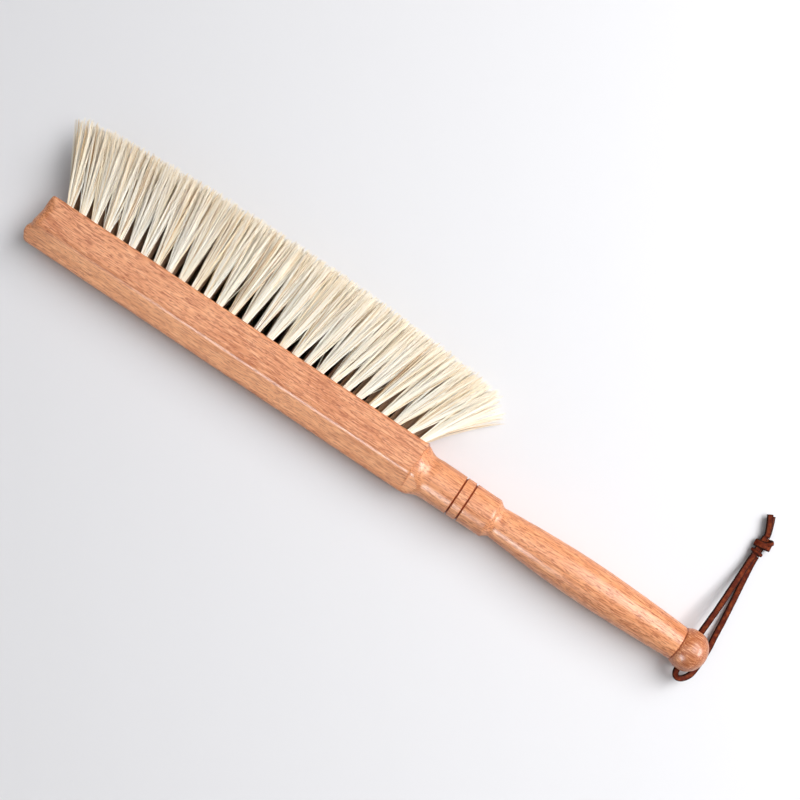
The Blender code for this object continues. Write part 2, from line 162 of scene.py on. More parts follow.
class Wire:
    """A value on its way through a shader, which Python's operators turn into Math nodes."""

    def __init__(self, tree: "ShaderTree", socket: bpy.types.NodeSocket) -> None:
        """Keeps the tree and the socket that the value comes from."""
        self.tree = tree
        self.socket = socket

    def __add__(self, other: "Wire | float") -> "Wire":
        """Adds."""
        return self.tree.math("ADD", self, other)

    def __radd__(self, other: "Wire | float") -> "Wire":
        """Adds to a number."""
        return self.tree.math("ADD", other, self)

    def __sub__(self, other: "Wire | float") -> "Wire":
        """Subtracts."""
        return self.tree.math("SUBTRACT", self, other)

    def __rsub__(self, other: "Wire | float") -> "Wire":
        """Subtracts from a number."""
        return self.tree.math("SUBTRACT", other, self)

    def __mul__(self, other: "Wire | float") -> "Wire":
        """Multiplies."""
        return self.tree.math("MULTIPLY", self, other)

    def __rmul__(self, other: "Wire | float") -> "Wire":
        """Multiplies a number."""
        return self.tree.math("MULTIPLY", other, self)

    def __truediv__(self, other: "Wire | float") -> "Wire":
        """Divides."""
        return self.tree.math("DIVIDE", self, other)

    def __rtruediv__(self, other: "Wire | float") -> "Wire":
        """Divides a number."""
        return self.tree.math("DIVIDE", other, self)

    def __pow__(self, other: "Wire | float") -> "Wire":
        """Raises to a power."""
        return self.tree.math("POWER", self, other)

    def __rpow__(self, other: "Wire | float") -> "Wire":
        """Raises a number to a power."""
        return self.tree.math("POWER", other, self)

    def sine(self) -> "Wire":
        """The sine of a value in radians."""
        return self.tree.math("SINE", self)

    def root(self) -> "Wire":
        """The square root."""
        return self.tree.math("SQRT", self)

    def rise(self, low: float, high: float) -> "Wire":
        """Rises smoothly from 0 at low to 1 at high, or falls where low is the larger.

        Args:
            low: The value that gives 0.
            high: The value that gives 1.

        Returns:
            The share, from 0 to 1.
        """
        inputs = {"Value": self, "From Min": low, "From Max": high}
        node = self.tree.add("ShaderNodeMapRange", {"interpolation_type": "SMOOTHSTEP"}, inputs)
        return Wire(self.tree, node.outputs["Result"])


class ShaderTree:
    """The nodes of one material or world."""

    def __init__(self, owner: bpy.types.Material | bpy.types.World) -> None:
        """Clears the owner's nodes and starts anew.

        Args:
            owner: The material or world.
        """
        owner.use_nodes = True
        self.nodes = owner.node_tree.nodes
        self.links = owner.node_tree.links
        self.nodes.clear()

    def add(
        self,
        kind: str,
        settings: dict[str, object] | None = None,
        inputs: dict[str | int, object] | None = None,
    ) -> bpy.types.Node:
        """Adds a node, sets it up and feeds its sockets.

        Args:
            kind: The node's type.
            settings: Its properties, or the stops of a ramp under the name stops.
            inputs: A value or a wire for each socket, by name or number.

        Returns:
            The node.
        """
        node = self.nodes.new(kind)
        for name, value in (settings or {}).items():
            if name == "stops":
                self._set_stops(node.color_ramp.elements, value)
            else:
                setattr(node, name, value)
        for name, value in (inputs or {}).items():
            if isinstance(value, Wire):
                self.links.new(value.socket, node.inputs[name])
            else:
                node.inputs[name].default_value = value
        return node

    @staticmethod
    def _set_stops(elements: bpy.types.ColorRampElements, stops: Sequence[tuple[float, Colour]]) -> None:
        """Puts a ramp's stops in place.

        Args:
            elements: The ramp's own stops.
            stops: The place and colour of each wanted one.
        """
        while len(elements) > 1:
            elements.remove(elements[-1])
        elements[0].position, elements[0].color = stops[0]
        for position, colour in stops[1:]:
            elements.new(position).color = colour

    def math(self, operation: str, *values: Wire | float) -> Wire:
        """Adds a Math node.

        Args:
            operation: Its operation.
            values: Its one or two values.

        Returns:
            Its result.
        """
        node = self.add("ShaderNodeMath", {"operation": operation}, dict(enumerate(values)))
        return Wire(self, node.outputs[0])

    def mix(self, share: Wire | float, first: Wire | Colour, second: Wire | Colour) -> Wire:
        """Mixes two colours.

        Args:
            share: How much of the second one shows.
            first: The colour at 0.
            second: The colour at 1.

        Returns:
            The mixed colour.
        """
        node = self.add("ShaderNodeMix", {"data_type": "RGBA"}, {0: share, 6: first, 7: second})
        return Wire(self, node.outputs[2])

    def stretched(self, vector: Wire, scale: Point) -> Wire:
        """Scales coordinates by a number on each axis.

        Args:
            vector: The coordinates.
            scale: The factors along x, y and z.

        Returns:
            The scaled coordinates.
        """
        node = self.add("ShaderNodeVectorMath", {"operation": "MULTIPLY"}, {0: vector, 1: scale})
        return Wire(self, node.outputs[0])

    def vector(self, x: Wire | float, y: Wire | float, z: Wire | float) -> Wire:
        """Joins three numbers into a vector."""
        return Wire(self, self.add("ShaderNodeCombineXYZ", None, {0: x, 1: y, 2: z}).outputs[0])

    def noise(self, vector: Wire, scale: float, detail: float = 2, roughness: float = 0.5) -> Wire:
        """A noise pattern from 0 to 1.

        Args:
            vector: The coordinates.
            scale: How fine it is.
            detail: How many finer layers it has.
            roughness: How strong they are.

        Returns:
            Its value.
        """
        inputs = {"Vector": vector, "Scale": scale, "Detail": detail, "Roughness": roughness}
        return Wire(self, self.add("ShaderNodeTexNoise", None, inputs).outputs[0])

    def object_place(self) -> Wire:
        """The coordinates of a piece's own surface, in metres."""
        return Wire(self, self.add("ShaderNodeTexCoord").outputs["Object"])

    def parts(self, vector: Wire) -> tuple[Wire, Wire, Wire]:
        """Splits a vector into its three numbers."""
        node = self.add("ShaderNodeSeparateXYZ", None, {0: vector})
        return tuple(Wire(self, output) for output in node.outputs)

    def bump(self, height: Wire, strength: float, distance: float) -> Wire:
        """Turns a height into a normal.

        Args:
            height: The height, from 0 to 1.
            strength: How much of it shows.
            distance: How high 1 is, in metres.

        Returns:
            The normal.
        """
        inputs = {"Height": height, "Strength": strength, "Distance": distance}
        return Wire(self, self.add("ShaderNodeBump", None, inputs).outputs[0])

    def surface(self, inputs: dict[str, object]) -> None:
        """Ends the tree in a Principled shader.

        Args:
            inputs: A value or wire for each socket that isn't left as it is.
        """
        shader = self.add("ShaderNodeBsdfPrincipled", None, inputs)
        self.add("ShaderNodeOutputMaterial", None, {"Surface": Wire(self, shader.outputs[0])})


@dataclass(frozen=True)
class BeechFinish:
    """Beech under clear lacquer: pinkish wood with growth bands and short brown flecks along the grain.

    Its scored grooves and the crease at the ball are darkened with painted shade. In each finish a pair
    of edges says at which values a pattern starts to show and shows in full, and a share says how
    strongly it then shows.
    """

    groove_places: tuple[float, ...]
    crease_place: float
    pale: Colour = srgb(232, 158, 110)
    deep: Colour = srgb(204, 123, 72)
    light: Colour = srgb(250, 188, 142)
    fleck: Colour = srgb(146, 56, 12)
    # Painted shade: the dark tone laid into the scored grooves and the crease at the ball.
    painted_groove_shade: Colour = srgb(140, 54, 20)
    ball_tone: Colour = srgb(168, 94, 51)
    ball_share: float = 0.75
    ball_blend: float = 0.001
    fibre_size: Point = (0.0120, 0.00075, 0.00075)
    dash_size: Point = (0.0048, 0.00064, 0.00064)
    fleck_size: Point = (0.0042, 0.00085, 0.00085)
    light_edges: tuple[float, float] = (0.52, 0.30)
    dark_edges: tuple[float, float] = (0.50, 0.70)
    dash_edges: tuple[float, float] = (0.50, 0.62)
    fleck_edges: tuple[float, float] = (0.62, 0.69)
    light_share: float = 0.60
    dark_share: float = 0.40
    dash_share: float = 0.52
    fleck_share: float = 0.60
    groove_shade_half: float = 0.0006
    groove_shade_edges: tuple[float, float] = (1.15, 0.55)
    groove_shade_share: float = 0.9
    crease_shade_share: float = 0.5
    pith: tuple[float, float] = (-0.030, -0.052)
    pith_slope: float = 0.035
    wander: float = 0.0036
    wander_up: float = 0.7
    wander_fineness: Point = (16, 45, 45)
    band_spacing: float = 0.0085
    band_sway: float = 1.3
    band_sharpness: float = 5
    band_share: float = 0.45
    patch_fineness: Point = (22, 60, 60)
    patch_middle: float = 0.42
    patch_share: float = 1.3
    roughness: float = 0.34
    dash_roughness: float = 0.10
    patch_roughness: float = 0.05
    specular: float = 0.25
    coat: float = 0.25
    coat_roughness: float = 0.16
    pore_strength: float = 0.05
    pore_depth: float = 0.00012

    def material(self) -> bpy.types.Material:
        """Builds the material.

        Returns:
            The material.
        """
        made = bpy.data.materials.new("lacquered_beech_grain")
        tree = ShaderTree(made)
        place = tree.object_place()
        x, y, z = tree.parts(place)
        wave = tree.noise(tree.stretched(place, self.wander_fineness), scale=1.0, detail=1.5)
        sway = (wave - 0.5) * self.wander
        y, z = y + sway, z + sway * self.wander_up
        fibres = self._dashes(tree, (x, y, z), self.fibre_size)
        dashes = self._dashes(tree, (x, y, z), self.dash_size).rise(*self.dash_edges)
        flecks = self._dashes(tree, (x, y, z), self.fleck_size).rise(*self.fleck_edges)
        across = y - self.pith[0] - x * self.pith_slope
        below = z - self.pith[1]
        reach = (across * across + below * below).root()
        band = ((reach / self.band_spacing + wave * self.band_sway) * math.tau).sine() * 0.5 + 0.5
        patch = tree.noise(tree.stretched(place, self.patch_fineness), scale=1.0, detail=3.0)
        growth = band**self.band_sharpness * self.band_share + (patch - self.patch_middle) * self.patch_share
        on_ball = x.rise(self.crease_place, self.crease_place + self.ball_blend)
        tone = tree.mix(growth, self.pale, self.deep)
        tone = tree.mix(on_ball * self.ball_share, tone, self.ball_tone)
        tone = tree.mix(fibres.rise(*self.light_edges) * self.light_share, tone, self.light)
        tone = tree.mix(fibres.rise(*self.dark_edges) * self.dark_share, tone, self.fleck)
        tone = tree.mix(dashes * self.dash_share, tone, self.fleck)
        tone = tree.mix(flecks * self.fleck_share, tone, self.fleck)
        # Painted shade: narrow bands along the two grooves and the crease at the ball are darkened.
        start, end = (self.groove_shade_half * edge for edge in self.groove_shade_edges)
        shaded_grooves = [(groove, self.groove_shade_share) for groove in self.groove_places]
        for shaded_place, share in (*shaded_grooves, (self.crease_place, self.crease_shade_share)):
            tone = tree.mix(tree.math("ABSOLUTE", x - shaded_place).rise(start, end) * share, tone, self.painted_groove_shade)
        tree.surface(
            {
                "Base Color": tone,
                "Roughness": self.roughness + dashes * self.dash_roughness + patch * self.patch_roughness,
                "Specular IOR Level": self.specular,
                "Coat Weight": self.coat,
                "Coat Roughness": self.coat_roughness,
                "Normal": tree.bump(1 - dashes, self.pore_strength, self.pore_depth),
            }
        )
        return made

    @staticmethod
    def _dashes(tree: ShaderTree, place: tuple[Wire, Wire, Wire], size: Point) -> Wire:
        """A pattern of short dashes along the grain.

        Args:
            tree: The material's nodes.
            place: The wandering coordinates.
            size: About how long, wide and high a dash and its gap are.

        Returns:
            The pattern, from 0 to 1.
        """
        cells = tree.vector(*(value / part for value, part in zip(place, size)))
        return tree.noise(cells, scale=1.0, detail=1.5, roughness=0.6)


@dataclass(frozen=True)
class BristleFinish:
    """Natural hair, each in one of many creams, tanner at its tip, and painted shade low on the inner rows.
    """

    brown: Colour = srgb(160, 116, 74)
    tan: Colour = srgb(240, 208, 160)
    cream: Colour = srgb(255, 243, 217)
    ivory: Colour = srgb(255, 250, 238)
    # Painted shade: the brown laid over the inner rows' hairs toward their roots.
    deep: Colour = srgb(146, 102, 64)
    stops: tuple[tuple[float, Colour], ...] = (
        (0.0, brown), (0.13, brown), (0.2, tan), (0.35, cream), (0.60, ivory),
    )
    tip_edges: tuple[float, float] = (0.35, 0.95)
    tip_share: float = 0.20
    root_shade_edges: tuple[float, float] = (0.85, 0.15)
    root_shade_share: float = 0.90
    roughness: float = 0.5
    specular: float = 0.18

    def material(self) -> bpy.types.Material:
        """Builds the material.

        Returns:
            The material.
        """
        made = bpy.data.materials.new("cream_bristle_hair")
        tree = ShaderTree(made)
        hair_map = tree.add("ShaderNodeUVMap", {"uv_map": BAKE_MAP})
        across, along, _ = tree.parts(Wire(tree, hair_map.outputs[0]))
        inner = tree.math("GREATER_THAN", across, INNER_SHADES_FROM)
        width = INNER_SHADES_FROM + inner * (1 - 2 * INNER_SHADES_FROM)
        shade = (across - inner * INNER_SHADES_FROM) / width
        ramp = tree.add("ShaderNodeValToRGB", {"stops": self.stops}, {0: shade})
        tone = Wire(tree, ramp.outputs[0])
        tone = tree.mix(along.rise(*self.tip_edges) * self.tip_share, tone, self.tan)
        # Painted shade: the inner rows darken toward their roots.
        tone = tree.mix(inner * along.rise(*self.root_shade_edges) * self.root_shade_share, tone, self.deep)
        tree.surface({"Base Color": tone, "Roughness": self.roughness, "Specular IOR Level": self.specular})
        return made


@dataclass(frozen=True)
class LeatherFinish:
    """Reddish brown leather lace, with painted shade darkening it toward its edges."""

    flat: Colour = srgb(84, 25, 8)
    worn: Colour = srgb(144, 66, 27)
    # Painted shade: the dark tone toward the lace's edges.
    edge: Colour = srgb(24, 6, 2)
    rub_fineness: float = 420.0
    rub_edges: tuple[float, float] = (0.38, 0.78)
    rub_share: float = 0.8
    shade_edges: tuple[float, float] = (0.40, 0.90)
    shade_share: float = 0.9
    grain_fineness: float = 2600.0
    grain_strength: float = 0.35
    grain_depth: float = 0.00012
    roughness: float = 0.52
    grain_roughness: float = 0.2
    specular: float = 0.04

    def material(self) -> bpy.types.Material:
        """Builds the material.

        Returns:
            The material.
        """
        made = bpy.data.materials.new("brown_lace_leather")
        tree = ShaderTree(made)
        place = tree.object_place()
        nearness = tree.add("ShaderNodeAttribute", {"attribute_name": EDGE_SHADE})
        cut = Wire(tree, nearness.outputs["Fac"])
        rub = tree.noise(place, self.rub_fineness, detail=3.0, roughness=0.6)
        grain = tree.noise(place, self.grain_fineness, detail=2.0, roughness=0.6)
        tone = tree.mix(rub.rise(*self.rub_edges) * self.rub_share, self.flat, self.worn)
        # Painted shade: darker toward the lace's edges.
        tone = tree.mix(cut.rise(*self.shade_edges) * self.shade_share, tone, self.edge)
        tree.surface(
            {
                "Base Color": tone,
                "Roughness": self.roughness + grain * self.grain_roughness,
                "Specular IOR Level": self.specular,
                "Normal": tree.bump(grain, self.grain_strength, self.grain_depth),
            }
        )
        return made


@dataclass(frozen=True)
class FloorFinish:
    """A matt pale floor."""

    tone: Colour = srgb(231, 231, 234)
    roughness: float = 0.9
    specular: float = 0.1

    def material(self) -> bpy.types.Material:
        """Builds the material.

        Returns:
            The material.
        """
        made = bpy.data.materials.new("pale_floor")
        tree = ShaderTree(made)
        inputs = {"Base Color": self.tone, "Roughness": self.roughness, "Specular IOR Level": self.specular}
        tree.surface(inputs)
        return made


def mesh_piece(
    name: str,
    mesh: bpy.types.Mesh,
    look: bpy.types.Material,
    body: Body,
    node: str,
) -> bpy.types.Object:
    """Puts a mesh into the scene as a piece of the brush.

    Args:
        name: The piece's name.
        mesh: Its mesh, in the row frame.
        look: Its material.
        body: The body that it moves with.
        node: The CAD node that it stands for.

    Returns:
        The piece.
    """
    mesh.materials.append(look)
    piece = bpy.data.objects.new(name, mesh)
    bpy.context.scene.collection.objects.link(piece)
    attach(piece, body.value)
    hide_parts(node)
    return piece


@dataclass
class WoodAxes:
    """Where the wood's own axes lie in the frame, read from the body's box."""

    length_to_ball_end: float

    def __post_init__(self) -> None:
        """Reads the box."""
        low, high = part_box("beech_body")
        self.origin = Vector((high.x - self.length_to_ball_end, (low.y + high.y) / 2, (low.z + high.z) / 2))

    def at(self, x: float, y: float, z: float) -> Vector:
        """Turns a place on the wood's axes into one in the frame."""
        return self.origin + Vector((x, y, z))


@dataclass
class HeadBlock:
    """The block that holds the tufts: flat sides, a soft ridge and a chamfer to a narrow round back."""

    length: float = 0.2603
    depth: float = 0.0316
    thickness: float = 0.030
    side_depth: float = 0.0168
    edge_bevel: float = 0.0008
    ridge_radius: float = 0.006
    chamfer_angle: float = math.radians(42)
    back_radius: float = 0.004
    end_slant: float = math.radians(13.8)
    side_rim: float = 0.0078
    chamfer_rim: float = 0.0020
    back_rim: float = 0.0050
    end_edge: float = 0.001
    back_end_edge: float = 0.0002
    back_blend: tuple[float, float] = (math.radians(95), math.radians(150))
    side_rim_blend: tuple[float, float] = (math.radians(38), math.radians(60))
    chamfer_rim_blend: tuple[float, float] = (math.radians(114), math.radians(132))
    back_rim_blend: tuple[float, float] = (math.radians(142), math.radians(166))

    def __post_init__(self) -> None:
        """Draws the section and measures it."""
        half = self._half_outline()
        self.outline = half + [(y, -z) for y, z in reversed(half[1:-1])]
        self.reaches = [math.hypot(y, z) for y, z in self.outline]
        self.turns = [abs(math.atan2(z, y)) for y, z in self.outline]

    def _half_outline(self) -> list[tuple[float, float]]:
        """Draws half of the section.

        Returns:
            Its points, from the middle of the bristle face to the middle of the back.
        """
        half_depth, half_thickness = self.depth / 2, self.thickness / 2
        side_end = half_depth - self.side_depth
        points = [(half_depth, z) for z in steps(0, half_thickness - self.edge_bevel, 10)]
        for turn in steps(0, math.pi / 2, 3)[1:]:
            y = half_depth - self.edge_bevel * (1 - math.cos(turn))
            points.append((y, half_thickness - self.edge_bevel * (1 - math.sin(turn))))
        points += [(y, half_thickness) for y in steps(half_depth - self.edge_bevel, side_end, 12)[1:]]
        for turn in steps(0, self.chamfer_angle, 8)[1:]:
            y = side_end - self.ridge_radius * math.sin(turn)
            points.append((y, half_thickness - self.ridge_radius * (1 - math.cos(turn))))
        ridge_y, ridge_z = points[-1]
        arc_y = self.back_radius * (1 - math.sin(self.chamfer_angle)) - half_depth
        arc_z = ridge_z - (ridge_y - arc_y) * math.tan(self.chamfer_angle)
        points += list(zip(steps(ridge_y, arc_y, 9), steps(ridge_z, arc_z, 9)))[1:]
        for turn in steps(self.chamfer_angle, math.pi / 2, 6)[1:]:
            y = self.back_radius * (1 - math.sin(turn)) - half_depth
            points.append((y, arc_z - self.back_radius * (math.cos(self.chamfer_angle) - math.cos(turn))))
        return points + [(-half_depth, 0.0)]

    def ring(self, x: float, reaches: Sequence[float]) -> list[Vector]:
        """A ring of points at x.

        Args:
            x: Its place along the wood.
            reaches: How far each point lies from the axis, in the directions of the outline.

        Returns:
            The points on the wood's axes.
        """
        return [
            Vector((x, y * reach / full, z * reach / full))
            for (y, z), full, reach in zip(self.outline, self.reaches, reaches)
        ]

    def round_ring(self, x: float, radius: float) -> list[Vector]:
        """A turned ring at x."""
        return self.ring(x, [radius] * len(self.outline))

    def rim(self, angle: float) -> float:
        """How round the free end's rim is: crisp at the bristles, broad at the sides.

        Args:
            angle: The direction from the axis, 0 at the bristles.

        Returns:
            The rim's radius.
        """
        rim = self.edge_bevel + smooth_share(angle, *self.side_rim_blend) * (self.side_rim - self.edge_bevel)
        rim += smooth_share(angle, *self.chamfer_rim_blend) * (self.chamfer_rim - self.side_rim)
        return rim + smooth_share(angle, *self.back_rim_blend) * (self.back_rim - self.chamfer_rim)

    def end_edge_at(self, angle: float) -> float:
        """How round the edge of the square end is in one direction."""
        return self.end_edge + smooth_share(angle, *self.back_blend) * (self.back_end_edge - self.end_edge)

    def free_end(self) -> list[list[Vector]]:
        """The slanted end with its rounded rim.

        Returns:
            Its rings.
        """
        rings = []
        for turn in steps(0, math.pi / 2, 10):
            points = []
            for (y, z), full, angle in zip(self.outline, self.reaches, self.turns):
                rim = self.rim(angle)
                share = 1 - rim * (1 - math.sin(turn)) / full
                x = y * share * math.tan(self.end_slant) + rim * (1 - math.cos(turn))
                points.append(Vector((x, y * share, z * share)))
            rings.append(points)
        return rings

    def straight_run(self) -> list[list[Vector]]:
        """The even stretch between the two ends."""
        places = steps(2 * self.side_rim, self.length - 2 * self.end_edge, 28)
        return [self.ring(x, self.reaches) for x in places]

    def square_end(self) -> list[list[Vector]]:
        """The end toward the neck, with its small rounded edge.

        Returns:
            Its rings.
        """
        rings = []
        for turn in steps(0, math.pi / 2, 4):
            points = []
            for (y, z), full, angle in zip(self.outline, self.reaches, self.turns):
                edge = self.end_edge_at(angle)
                share = 1 - edge * (1 - math.cos(turn)) / full
                points.append(Vector((self.length - edge * (1 - math.sin(turn)), y * share, z * share)))
            rings.append(points)
        return rings


@dataclass
class TurnedHandle:
    """Everything that the lathe made: the cove behind the head, the scored neck, the handle and the ball.

    A table of shares pairs a place along its stretch, from 0 to 1, with the share of the way from one
    radius to the other. A profile pairs a place across a groove with the share of its depth.
    """

    head: HeadBlock
    shoulder_length: float = 0.0125
    neck_radius: float = 0.0124
    neck_length: float = 0.0385
    collar_radius: float = 0.0120
    collar_end_length: float = 0.0043
    groove_from_head: float = 0.0284
    groove_spacing: float = 0.0066
    groove_width: float = 0.0012
    groove_depth: float = 0.0010
    groove_margin: float = 1.4
    length: float = 0.1207
    start_radius: float = 0.0093
    radius: float = 0.0122
    end_radius: float = 0.0100
    crease_depth: float = 0.0005
    crease_width: float = 0.0007
    ball_radius: float = 0.0122
    ball_end_length: float = 0.0106
    bore_past_ball_centre: float = 0.0003
    shoulder_from: float = 0.02
    side_shares: Sequence[tuple[float, float]] = (
        (0.00, 1.00), (0.09, 0.92), (0.18, 0.70), (0.30, 0.37), (0.41, 0.13),
        (0.55, -0.06), (0.70, -0.12), (0.86, -0.06), (1.00, 0.00),
    )
    back_shares: Sequence[tuple[float, float]] = (
        (0.00, 1.00), (0.09, 0.99), (0.18, 0.94), (0.30, 0.79), (0.41, 0.58),
        (0.55, 0.32), (0.70, 0.11), (0.86, 0.02), (1.00, 0.00),
    )
    groove_profile: Sequence[tuple[float, float]] = (
        (-1.15, 0), (-1, 0.06), (-0.6, 0.7), (0, 1), (0.6, 0.7), (1, 0.06), (1.15, 0),
    )
    crease_profile: Sequence[tuple[float, float]] = ((1, 0), (1 / 3, 0.4), (0, 1))
    collar_shares: Sequence[tuple[float, float]] = (
        (0.0, 0.0), (0.20, 0.17), (0.47, 0.55), (0.73, 0.85), (1.0, 1.0),
    )
    swell_shares: Sequence[tuple[float, float]] = (
        (0.0, 0.0), (0.025, 0.12), (0.06, 0.21), (0.12, 0.37), (0.17, 0.54),
        (0.23, 0.68), (0.29, 0.79), (0.36, 0.92), (0.45, 1.00), (0.58, 1.00),
    )
    taper_shares: Sequence[tuple[float, float]] = (
        (0.58, 0.00), (0.66, 0.14), (0.75, 0.31), (0.83, 0.50), (0.92, 0.74), (1.00, 1.00),
    )

    def __post_init__(self) -> None:
        """Works out the places along the axis."""
        self.neck_start = self.head.length + self.shoulder_length
        self.neck_end = self.neck_start + self.neck_length
        first_groove = self.head.length + self.groove_from_head
        self.groove_places = (first_groove, first_groove + self.groove_spacing)
        self.start = self.neck_end + self.collar_end_length
        self.end = self.start + self.length
        self.ball_centre = self.end + math.sqrt(self.ball_radius**2 - self.end_radius**2)
        self.bore_place = self.ball_centre + self.bore_past_ball_centre
        self.ball_end = self.ball_centre + self.ball_end_length

    def shoulder(self) -> list[list[Vector]]:
        """The cove from the head to the neck, fuller toward the back.

        Returns:
            Its rings.
        """
        rings = []
        for place in steps(self.shoulder_from, 1, 30):
            side = between(self.neck_radius, self.head.thickness / 2, eased(self.side_shares, place))
            back = between(self.neck_radius, self.head.depth / 2, eased(self.back_shares, place))
            reaches = []
            for full, angle in zip(self.head.reaches, self.head.turns):
                turned = between(side, back, smooth_share(angle, *self.head.back_blend))
                reaches.append(min(full - self.head.end_edge_at(angle), turned))
            rings.append(self.head.ring(self.head.length + place * self.shoulder_length, reaches))
        return rings

    def _neck_radius_at(self, x: float) -> float:
        """The neck narrows a little from the shoulder to the collar."""
        taper = self.collar_radius - self.neck_radius
        return self.neck_radius + taper * (x - self.neck_start) / self.neck_length

    def neck(self) -> list[list[Vector]]:
        """The neck with its two scored lines, and the collar's round end.

        Returns:
            The rings.
        """
        half = self.groove_width / 2
        depths = {
            x: 0.0
            for x in steps(self.neck_start, self.neck_end, 40)[1:-1]
            if all(abs(x - middle) > self.groove_margin * half for middle in self.groove_places)
        }
        for middle in self.groove_places:
            for side, share in self.groove_profile:
                depths[middle + side * half] = share * self.groove_depth
        rings = [self.head.round_ring(x, self._neck_radius_at(x) - depths[x]) for x in sorted(depths)]
        for place in steps(0, 1, 16):
            radius = between(self.collar_radius, self.start_radius, eased(self.collar_shares, place))
            rings.append(self.head.round_ring(self.neck_end + place * self.collar_end_length, radius))
        return rings

    def handle(self) -> list[list[Vector]]:
        """The handle, which swells from the collar and narrows to the crease at the ball.

        Returns:
            Its rings.
        """
        rings = []
        for place in steps(0, 1, 72)[1:]:
            if place < self.swell_shares[-1][0]:
                radius = between(self.start_radius, self.radius, eased(self.swell_shares, place))
            else:
                radius = between(self.radius, self.end_radius, eased(self.taper_shares, place))
            x = self.start + place * self.length
            if x < self.end - self.crease_width:
                rings.append(self.head.round_ring(x, radius))
        for before, share in self.crease_profile:
            radius = self.end_radius - self.crease_depth * share
            rings.append(self.head.round_ring(self.end - self.crease_width * before, radius))
        return rings

    def ball(self) -> list[list[Vector]]:
        """The ball, from just past the crease almost to its pole, a little flattened at its end.

        Returns:
            Its rings.
        """
        rings = []
        start = math.acos((self.ball_centre - self.end - self.crease_width / 2) / self.ball_radius)
        for turn in steps(start, math.pi, 36)[:-1]:
            reach = self.ball_radius if turn < math.pi / 2 else self.ball_end_length
            x = self.ball_centre - reach * math.cos(turn)
            rings.append(self.head.round_ring(x, self.ball_radius * math.sin(turn)))
        return rings


@dataclass
class TuftPlan:
    """Where the tufts stand in the head and how they lean."""

    head: HeadBlock
    columns: int = 29
    first: float = 0.0139
    last_to_head_end: float = 0.0044
    row_spacing: float = 0.0072
    inner_start_inset: float = 0.0015
    inner_end_inset: float = 0.0042
    hole_diameter: float = 0.0048
    hole_depth: float = 0.0060
    middle_lean: float = math.radians(3.5)
    lean_spread: float = math.radians(19)
    end_flare: float = math.radians(2.5)
    row_lean: float = math.radians(1.2)

    def __post_init__(self) -> None:
        """Works out the last tuft's place and the rows, as (height, whether it is a shorter inner row)."""
        self.last = self.head.length - self.last_to_head_end
        self.outer_row = 1.5 * self.row_spacing
        inner_row = 0.5 * self.row_spacing
        self.rows = ((-self.outer_row, False), (-inner_row, True), (inner_row, True), (self.outer_row, False))

    def place(self, column: int, inner: bool) -> float:
        """Where a tuft stands along the head.

        Args:
            column: Its number from the free end.
            inner: Whether it is in one of the shorter inner rows.

        Returns:
            The place on the wood's axis.
        """
        first = self.first + inner * self.inner_start_inset
        last = self.last - inner * self.inner_end_inset
        return first + column * (last - first) / (self.columns - 1)

    def share(self, x: float) -> float:
        """How far x lies from the middle of the tufts: -1 at the first one and 1 at the last."""
        return (x - (self.first + self.last) / 2) / ((self.last - self.first) / 2)

    def lean(self, x: float) -> float:
        """How far a tuft at x leans toward the handle, in radians."""
        share = self.share(x)
        return self.middle_lean + self.lean_spread * share + self.end_flare * share**3

    def tilt(self, z: float) -> float:
        """How far a tuft of the row at z leans up, in radians."""
        return self.row_lean * z / self.outer_row

    def direction(self, x: float, z: float) -> Vector:
        """The way a tuft points."""
        lean, tilt = self.lean(x), self.tilt(z)
        return Vector((math.sin(lean), math.cos(lean) * math.cos(tilt), math.sin(tilt))).normalized()


